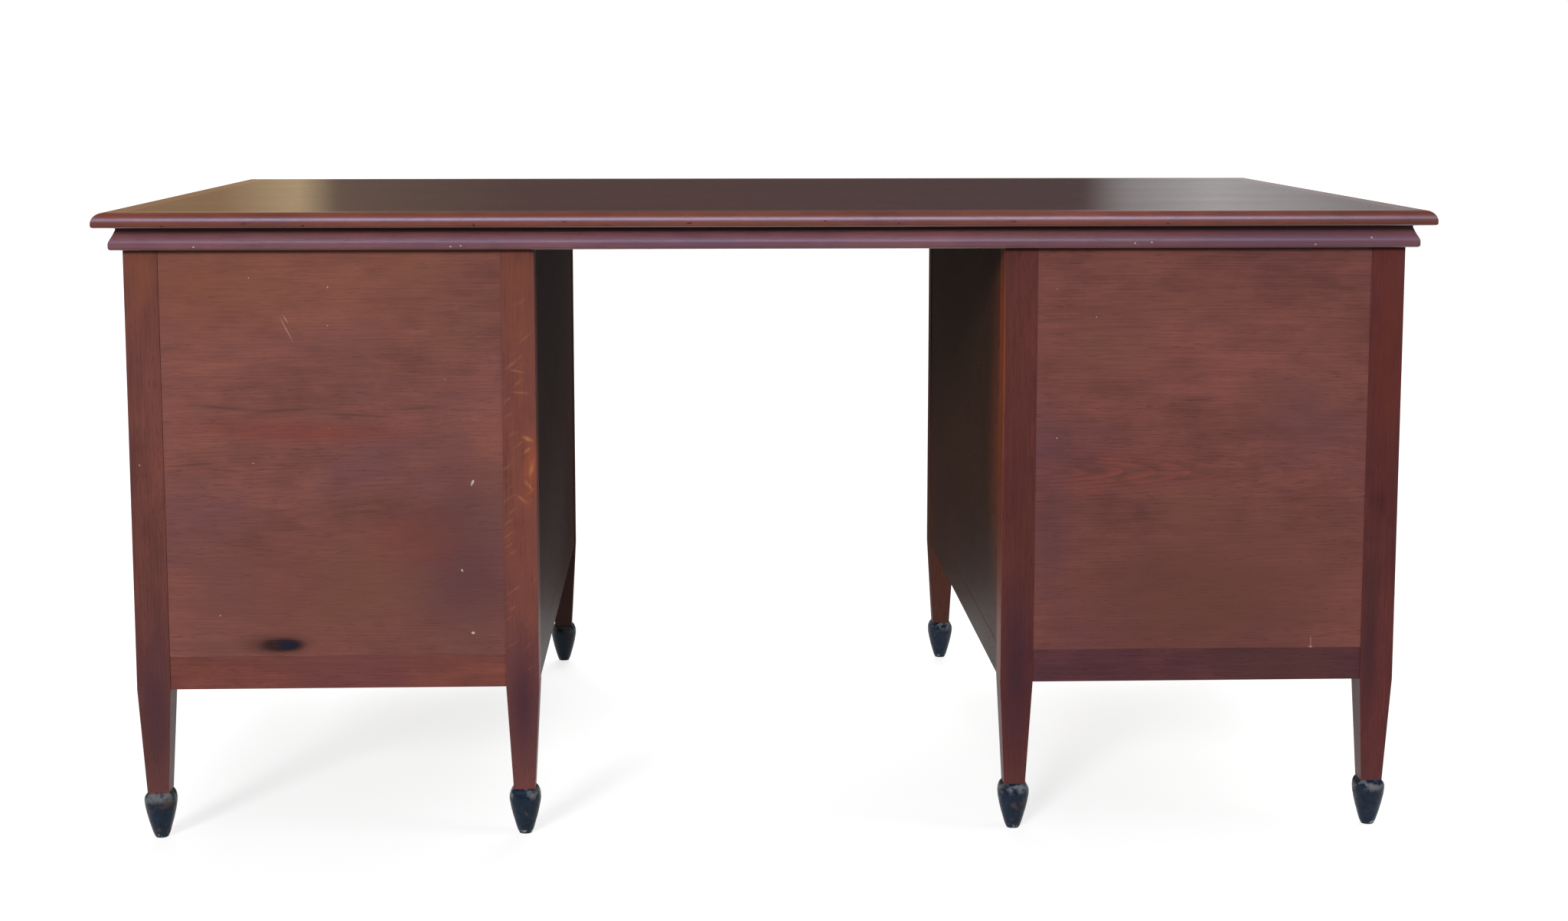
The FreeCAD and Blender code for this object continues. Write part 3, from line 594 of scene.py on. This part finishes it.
class DeskFinishes(bpy.types.PropertyGroup):
    """Colours of the desk's woods and metal, and how far its edges are rounded."""

    # The right pedestal's colours are darker than the left's: partly the boards' own tone, partly
    # painted shade for light that falls from the left
    panel_left: colour_value("Left panel", "Stained oak of the left back panel", "#794b43")
    panel_right: colour_value("Right panel", "Stained oak of the right back panel", "#72443e")
    post_left: colour_value("Left posts", "Stained oak of the left back legs", "#683d37")
    post_right: colour_value("Right posts", "Stained oak of the right back legs", "#592e2c")
    # Painted shade: the legs on the drawer side are darker than the back legs, for the shade under
    # and behind the desk
    shaded_post_front: colour_value("Front posts", "Stained oak of the legs on the drawer side", "#45251f")
    rail_left: colour_value("Left rail", "Stained oak of the left back bottom rail", "#73423a")
    rail_right: colour_value("Right rail", "Stained oak of the right back bottom rail", "#533134")
    side_panel: colour_value("Side panels", "Stained oak of the outer side panels", "#5f362e")
    # Painted shade: the kneehole's colour is darker than the stain outside it, for the shade under
    # the top
    kneehole: colour_value("Kneehole", "Stained oak that no sun has faded", "#3a241c")
    top: colour_value("Top", "Polished oak of the top", "#4a2a25")
    lipping: colour_value("Lipping", "Polished oak of the moulded edge of the top", "#743f33")
    # Partly painted reflection: the moulding's colour is purpler than its stain, for blue sky in
    # its polish
    moulding: colour_value("Moulding", "Stained oak of the frame under the top", "#76484d")
    drawer_front: colour_value("Drawer fronts", "Stained oak of the drawer fronts", "#653932")
    # Partly painted highlight: the lighter edges stand for both rubbed stain and the light they
    # catch
    edge_wear_and_highlight: colour_value("Rubbed edges", "Oak where the stain is rubbed through on edges", "#8a4f38")
    ray: colour_value("Ray figure", "Golden rays of quarter-sawn oak", "#b07048")
    raw_oak: colour_value("Raw oak", "Unfinished oak of drawer boxes and runners", "#ae8c6b")
    black: colour_value("Black stain", "Black stain and varnish of feet and knobs", "#172332")
    steel: colour_value("Steel", "Bare steel of the screws", "#8b8883")
    board_rounding: length_value("Board edges", "Rounding of legs, rails and drawer fronts", 0.9)
    joint_rounding: length_value("Joint edges", "Rounding of edges that meet flush", 0.35)


class DeskStage(bpy.types.PropertyGroup):
    """Camera, light and floor."""

    lens: FloatProperty(
        name="Lens", description="Focal length on a 36 mm wide sensor", default=55.867, min=1,
        unit="CAMERA")
    eye: FloatVectorProperty(
        name="Camera", description="Where the camera stands", subtype="TRANSLATION", size=3,
        unit="LENGTH", default=(-0.09119, -3.36641, 0.91879))
    pitch: FloatProperty(
        name="Look down", description="How far the camera looks down", default=0.12368,
        unit="ROTATION")
    turn: FloatProperty(
        name="Look right", description="How far the camera looks to the right", default=0.03715,
        unit="ROTATION")
    rise: FloatProperty(
        name="Lens shift", description="Upward shift of the lens, by the picture's width",
        default=-0.0496)
    key: strength_value("Key light", "Strength of the soft key light", 2.65)
    back: strength_value("Back light", "Strength of the light from behind", 2.8)
    side: strength_value("Side light", "Strength of the light from the right", 1.2)
    sky: strength_value("Sky light", "Strength of the even light", 0.30)
    floor: colour_value("Floor", "Colour of the floor", "#ffffff")


class DressTop(bpy.types.Operator):
    """Polish the top and its moulded lippings"""

    bl_idname = "desk.dress_top"
    bl_label = "Top and lippings"

    def execute(self, context):
        looks = context.scene.desk_finishes
        board = stained_oak(
            "oak, polished top", looks.top, ACROSS, 3, gloss=(0.10, 0.20), pith=(0, 90, 690),
            specular=0.5, relief=0.06, sway=0.03)
        dress("top_panel", board, looks.joint_rounding)
        for run, ends in ROUND:
            lipping = stained_oak(
                "oak, polished lipping", looks.lipping, run, 11, gloss=(0.26, 0.34), marks=NICKS,
                specular=1.0, polish=1.0, relief=0.12)
            for end in ends:
                dress("top_lipping_" + end, lipping, looks.joint_rounding)
        return {"FINISHED"}


class DressFrame(bpy.types.Operator):
    """Finish the moulded frame, its bearers and cleats under the top"""

    bl_idname = "desk.dress_frame"
    bl_label = "Frame under the top"

    def execute(self, context):
        looks = context.scene.desk_finishes
        for run, ends in ROUND:
            # The moulding's purple colour is partly a painted reflection of the sky, and its marks
            # hold a painted shadow under the nosing
            moulding = stained_oak(
                "oak, moulded and stained", looks.moulding, run, 17, gloss=(0.42, 0.54),
                marks=MOULDING_MARKS, specular=1.0, polish=1.0, relief=0.2)
            for end in ends:
                dress("frame_rail_" + end, moulding, looks.joint_rounding)
        hidden = stained_oak("oak, sawn and stained", looks.side_panel, DEEP, 19, gloss=(0.5, 0.65))
        for name in ("frame_bearer_left", "frame_bearer_right", "top_cleats"):
            dress(name, hidden, looks.board_rounding)
        return {"FINISHED"}


class DressPedestals(bpy.types.Operator):
    """Finish the legs, panels, rails and bottom boards of both pedestals"""

    bl_idname = "desk.dress_pedestals"
    bl_label = "Pedestals"

    def execute(self, context):
        looks = context.scene.desk_finishes
        boards = stained_oak(
            "oak, sawn bottom boards", looks.raw_oak, ACROSS, 59, gloss=(0.6, 0.75))
        outer_side = stained_oak("oak, stained outer panels", looks.side_panel, DEEP, 43)
        side_rail = stained_oak("oak, stained side rails", looks.side_panel, DEEP, 53)
        # Painted shade: the front legs' colour is darker than the back legs'
        shaded_front_post = stained_oak("oak, stained front legs", looks.shaded_post_front, UPRIGHT, 37)
        for number, side in enumerate(SIDES):
            panel = stained_oak(
                f"oak, stained {side} panel", getattr(looks, "panel_" + side), ACROSS, 9 + number,
                pith=PITH[side], marks=PANEL_MARKS[side], flecks=0.12,
                arches=(ARCH_RED, ARCH_AREA) if side == "right" else None)
            dress(side + "_back_panel", panel, looks.joint_rounding)
            rail = stained_oak(
                f"oak, stained {side} rail", getattr(looks, "rail_" + side), ACROSS, 27 + number)
            dress(side + "_back_bottom_rail", rail, looks.board_rounding)
            # Lighter edges: rubbed stain and a painted highlight
            rubbed = stained_oak(f"oak, rubbed {side} edges", looks.edge_wear_and_highlight, UPRIGHT, 45 + number)
            for place in ("outer", "inner"):
                column = f"{side}_{place}"
                marks, rays = POST_MARKS[column], None
                if column == "left_inner":
                    rays = (looks.ray, RAY_AREA)
                    marks += tuple((*mark, looks.ray, cover) for *mark, cover in RAY_MARKS)
                post = stained_oak(
                    f"oak, stained {side} {place} legs", getattr(looks, "post_" + side), UPRIGHT,
                    31 + 2 * number, marks=marks, rays=rays, flecks=0.08)
                dress(f"{side}_leg_back_{place}", post, looks.board_rounding, rubbed)
                dress(f"{side}_leg_front_{place}", shaded_front_post, looks.board_rounding)
            # The kneehole panels and rails are darkened as painted shade, and carry painted light
            # and shade marks
            kneehole = stained_oak(
                f"oak, stained {side} kneehole panel", looks.kneehole, DEEP, 47 + number,
                marks=KNEEHOLE_LIGHT_AND_SHADE[side], specular=0.06)
            dress(side + "_inner_panel", kneehole, looks.joint_rounding)
            dress(side + "_inner_bottom_rail", kneehole, looks.board_rounding)
            dress(side + "_outer_panel", outer_side, looks.joint_rounding)
            dress(side + "_outer_bottom_rail", side_rail, looks.board_rounding)
            dress(side + "_bottom_board", boards, looks.joint_rounding)
        return {"FINISHED"}


class DressFeet(bpy.types.Operator):
    """Blacken the spade feet and wear them"""

    bl_idname = "desk.dress_feet"
    bl_label = "Spade feet"

    def execute(self, context):
        looks = context.scene.desk_finishes
        black = ebonised_wood("hardwood, ebonised and worn", looks.black, "#4c3d38", scuffs_and_highlight=0.55)
        dress("spade_feet", black, looks.board_rounding)
        return {"FINISHED"}


class DressDrawers(bpy.types.Operator):
    """Finish the drawers, their rails, runners and stops"""

    bl_idname = "desk.dress_drawers"
    bl_label = "Drawers"

    def execute(self, context):
        looks = context.scene.desk_finishes
        front = stained_oak(
            "oak, stained drawer fronts", looks.drawer_front, ACROSS, 61, pith=(0, 380, 500))
        # Lighter edges: rubbed stain and a painted highlight
        rubbed = stained_oak("oak, rubbed drawer edges", looks.edge_wear_and_highlight, ACROSS, 67)
        knob = ebonised_wood("hardwood, turned and ebonised", looks.black, "#4a3630", turned=True)
        low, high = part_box("right_top_drawer_box")
        middle, half = (low.x + high.x) / 2, (high.x - low.x) / 2 - DRAWER_SIDE * MM
        raw = {"gloss": (0.58, 0.74), "pores": 0.4}
        box = stained_oak(
            "oak, planed drawer boxes", looks.raw_oak, ACROSS, 71, sides_at=(middle, half), **raw)
        runner = stained_oak("oak, planed runners", looks.raw_oak, DEEP, 73, **raw)
        rails = stained_oak("oak, stained drawer rails", looks.drawer_front, ACROSS, 79)
        for side in SIDES:
            for level in LEVELS:
                drawer = f"{side}_{level}_drawer_"
                dress(drawer + "front", front, looks.board_rounding, rubbed)
                dress(drawer + "box", box, looks.joint_rounding)
                dress(drawer + "knob", knob, looks.joint_rounding)
            dress(side + "_drawer_rails", rails, looks.board_rounding)
            dress(side + "_drawer_runners", runner, looks.board_rounding)
        dress("drawer_stops", runner, looks.joint_rounding)
        return {"FINISHED"}


class DressScrews(bpy.types.Operator):
    """Finish the wood screws"""

    bl_idname = "desk.dress_screws"
    bl_label = "Screws"

    def execute(self, context):
        looks = context.scene.desk_finishes
        dress("wood_screws", screw_steel("mild steel, bare", looks.steel), SCREW_ROUNDING * MM)
        return {"FINISHED"}


def flat_sheet(name, corners, material, faces):
    """A sheet of the stage."""
    mesh = bpy.data.meshes.new(name)
    mesh.from_pydata(corners, [], faces)
    sheet = bpy.data.objects.new(name, mesh)
    bpy.context.scene.collection.objects.link(sheet)
    mesh.materials.append(material)
    return sheet


def shining(name, code, strength=1.0):
    """A material that only shines, for what the polish shows."""
    material, tree = new_finish(name)
    glow = put(tree, "Emission", {"Color": opaque(code), "Strength": strength})
    put(tree, "OutputMaterial", {"Surface": glow})
    return material


def seen(tree):
    """One for rays that show the stage, to the eye or in a polish, nought for light's own rays."""
    path = put(tree, "LightPath").node.outputs
    rays = ("Is Camera Ray", "Is Glossy Ray", "Is Transmission Ray")
    shown = blended(tree, *((path[ray], 1.0) for ray in rays))
    return put(tree, "MapRange", (shown, 0.0, 1.0), **SOFT)


class SetStage(bpy.types.Operator):
    """Set the floor, the light and the camera"""

    bl_idname = "desk.set_stage"
    bl_label = "Stage"

    def execute(self, context):
        scene, stage = context.scene, context.scene.desk_stage
        scene.view_settings.view_transform = "Standard"
        self.floor(stage)
        self.room()
        self.light(scene, stage)
        self.camera(scene, stage)
        return {"FINISHED"}

    def floor(self, stage):
        """Pale floor: a glow of its own lifts the shadow, which stays soft."""
        material, tree = new_finish("floor, matt white paint")
        glow = put(tree, "Emission", {"Color": opaque(stage.floor), "Strength": FLOOR_GLOW})
        shown, bounced = (
            put(tree, "BsdfDiffuse", {"Color": opaque(tinted(stage.floor, share, share, share))})
            for share in (FLOOR_SHOWN, FLOOR_BOUNCE))
        shown = put(tree, "AddShader", (glow, shown))
        either = put(tree, "MixShader", (seen(tree), bounced, shown))
        put(tree, "OutputMaterial", {"Surface": either})
        corners = [
            (x * FLOOR_REACH, y * FLOOR_REACH, FLOOR_LEVEL)
            for x, y in ((-1, -1), (1, -1), (1, 1), (-1, 1))]
        flat_sheet("floor", corners, material, [(0, 1, 2, 3)])

    def room(self):
        """A dim room that only the polish shows, with a patch of bright sky high up in front."""
        far_end, tree = new_finish("far end of the room, seen in the polish")
        place = put(tree, "TexCoord", out="Object")
        across = put(tree, "SeparateXYZ", (place,), "X")
        share = put(tree, "MapRange", (across, -ROOM_HALF, ROOM_HALF))
        colour = put(tree, "ValToRGB", (share,), stops=[
            ((x + ROOM_HALF) / (2 * ROOM_HALF), linear(code)) for x, code in FAR_COLOURS])
        glow = put(tree, "Emission", {"Color": colour, "Strength": 1.0})
        put(tree, "OutputMaterial", {"Surface": glow})
        for name, section, half, material in (
            ("far end", FAR_END, ROOM_HALF, far_end),
            ("ceiling", CEILING, ROOM_HALF, shining("ceiling of the room", "#2f2a29")),
            ("ground", GROUND, GROUND_HALF, shining("ground in front", "#4a4543")),
            ("sky", SKY_PATCH, SKY_HALF, shining("sky in front", "#bcceff", SKY_GLOW)),
        ):
            corners = [(x, y, z) for y, z in section for x in (-half, half)]
            faces = [(row, row + 1, row + 3, row + 2) for row in range(0, len(corners) - 2, 2)]
            sheet = flat_sheet(name, corners, material, faces)
            for rays in ("camera", "diffuse", "transmission", "volume_scatter", "shadow"):
                setattr(sheet, "visible_" + rays, False)

    def light(self, scene, stage):
        """Three soft lamps, which the polish doesn't show, and even light from all round."""
        for name, strength, (spread, towards) in (
            ("key light", stage.key, KEY_LIGHT),
            ("back light", stage.back, BACK_LIGHT),
            ("side light", stage.side, SIDE_LIGHT),
        ):
            lamp = bpy.data.lights.new(name, "SUN")
            lamp.energy = strength
            lamp.angle = math.radians(spread)
            sun = bpy.data.objects.new(name, lamp)
            scene.collection.objects.link(sun)
            sun.visible_glossy = False
            sun.rotation_euler = Vector(towards).to_track_quat("-Z", "Y").to_euler()
        world = bpy.data.worlds.new("soft daylight")
        scene.world = world
        world.use_nodes = True
        tree = world.node_tree
        tree.nodes.clear()
        sky = put(tree, "Background", {"Color": opaque(DAYLIGHT), "Strength": stage.sky})
        white = put(tree, "Background", {"Color": opaque(WHITE), "Strength": 1.0})
        either = put(tree, "MixShader", (seen(tree), sky, white))
        put(tree, "OutputWorld", {"Surface": either})

    def camera(self, scene, stage):
        """The camera, level from side to side, with its lens shifted as the picture needs."""
        view = bpy.data.cameras.new("camera")
        view.sensor_fit = "HORIZONTAL"
        view.sensor_width = SENSOR_WIDTH
        view.lens = stage.lens
        view.shift_y = stage.rise
        eye = bpy.data.objects.new("camera", view)
        scene.collection.objects.link(eye)
        eye.location = stage.eye
        eye.rotation_euler = (math.pi / 2 - stage.pitch, 0.0, -stage.turn)
        scene.camera = eye


STEPS = (DressTop, DressFrame, DressPedestals, DressFeet, DressDrawers, DressScrews, SetStage)


class DeskPanel(bpy.types.Panel):
    """The desk's steps and values in the sidebar"""

    bl_idname = "VIEW3D_PT_desk"
    bl_label = "Pedestal desk"
    bl_space_type = "VIEW_3D"
    bl_region_type = "UI"
    bl_category = "Desk"

    def draw(self, context):
        column = self.layout.column()
        for step in STEPS:
            column.operator(step.bl_idname)
        for values in (context.scene.desk_finishes, context.scene.desk_stage):
            for key in values.__annotations__:
                column.prop(values, key)


CLASSES = (DeskFinishes, DeskStage, *STEPS, DeskPanel)


def register():
    for part in CLASSES:
        bpy.utils.register_class(part)
    bpy.types.Scene.desk_finishes = PointerProperty(type=DeskFinishes)
    bpy.types.Scene.desk_stage = PointerProperty(type=DeskStage)


def unregister():
    del bpy.types.Scene.desk_stage
    del bpy.types.Scene.desk_finishes
    for part in reversed(CLASSES):
        bpy.utils.unregister_class(part)


def main():
    register()
    for step in (
        bpy.ops.desk.dress_top, bpy.ops.desk.dress_frame, bpy.ops.desk.dress_pedestals,
        bpy.ops.desk.dress_feet, bpy.ops.desk.dress_drawers, bpy.ops.desk.dress_screws,
        bpy.ops.desk.set_stage,
    ):
        step()


if __name__ == "__main__":
    main()
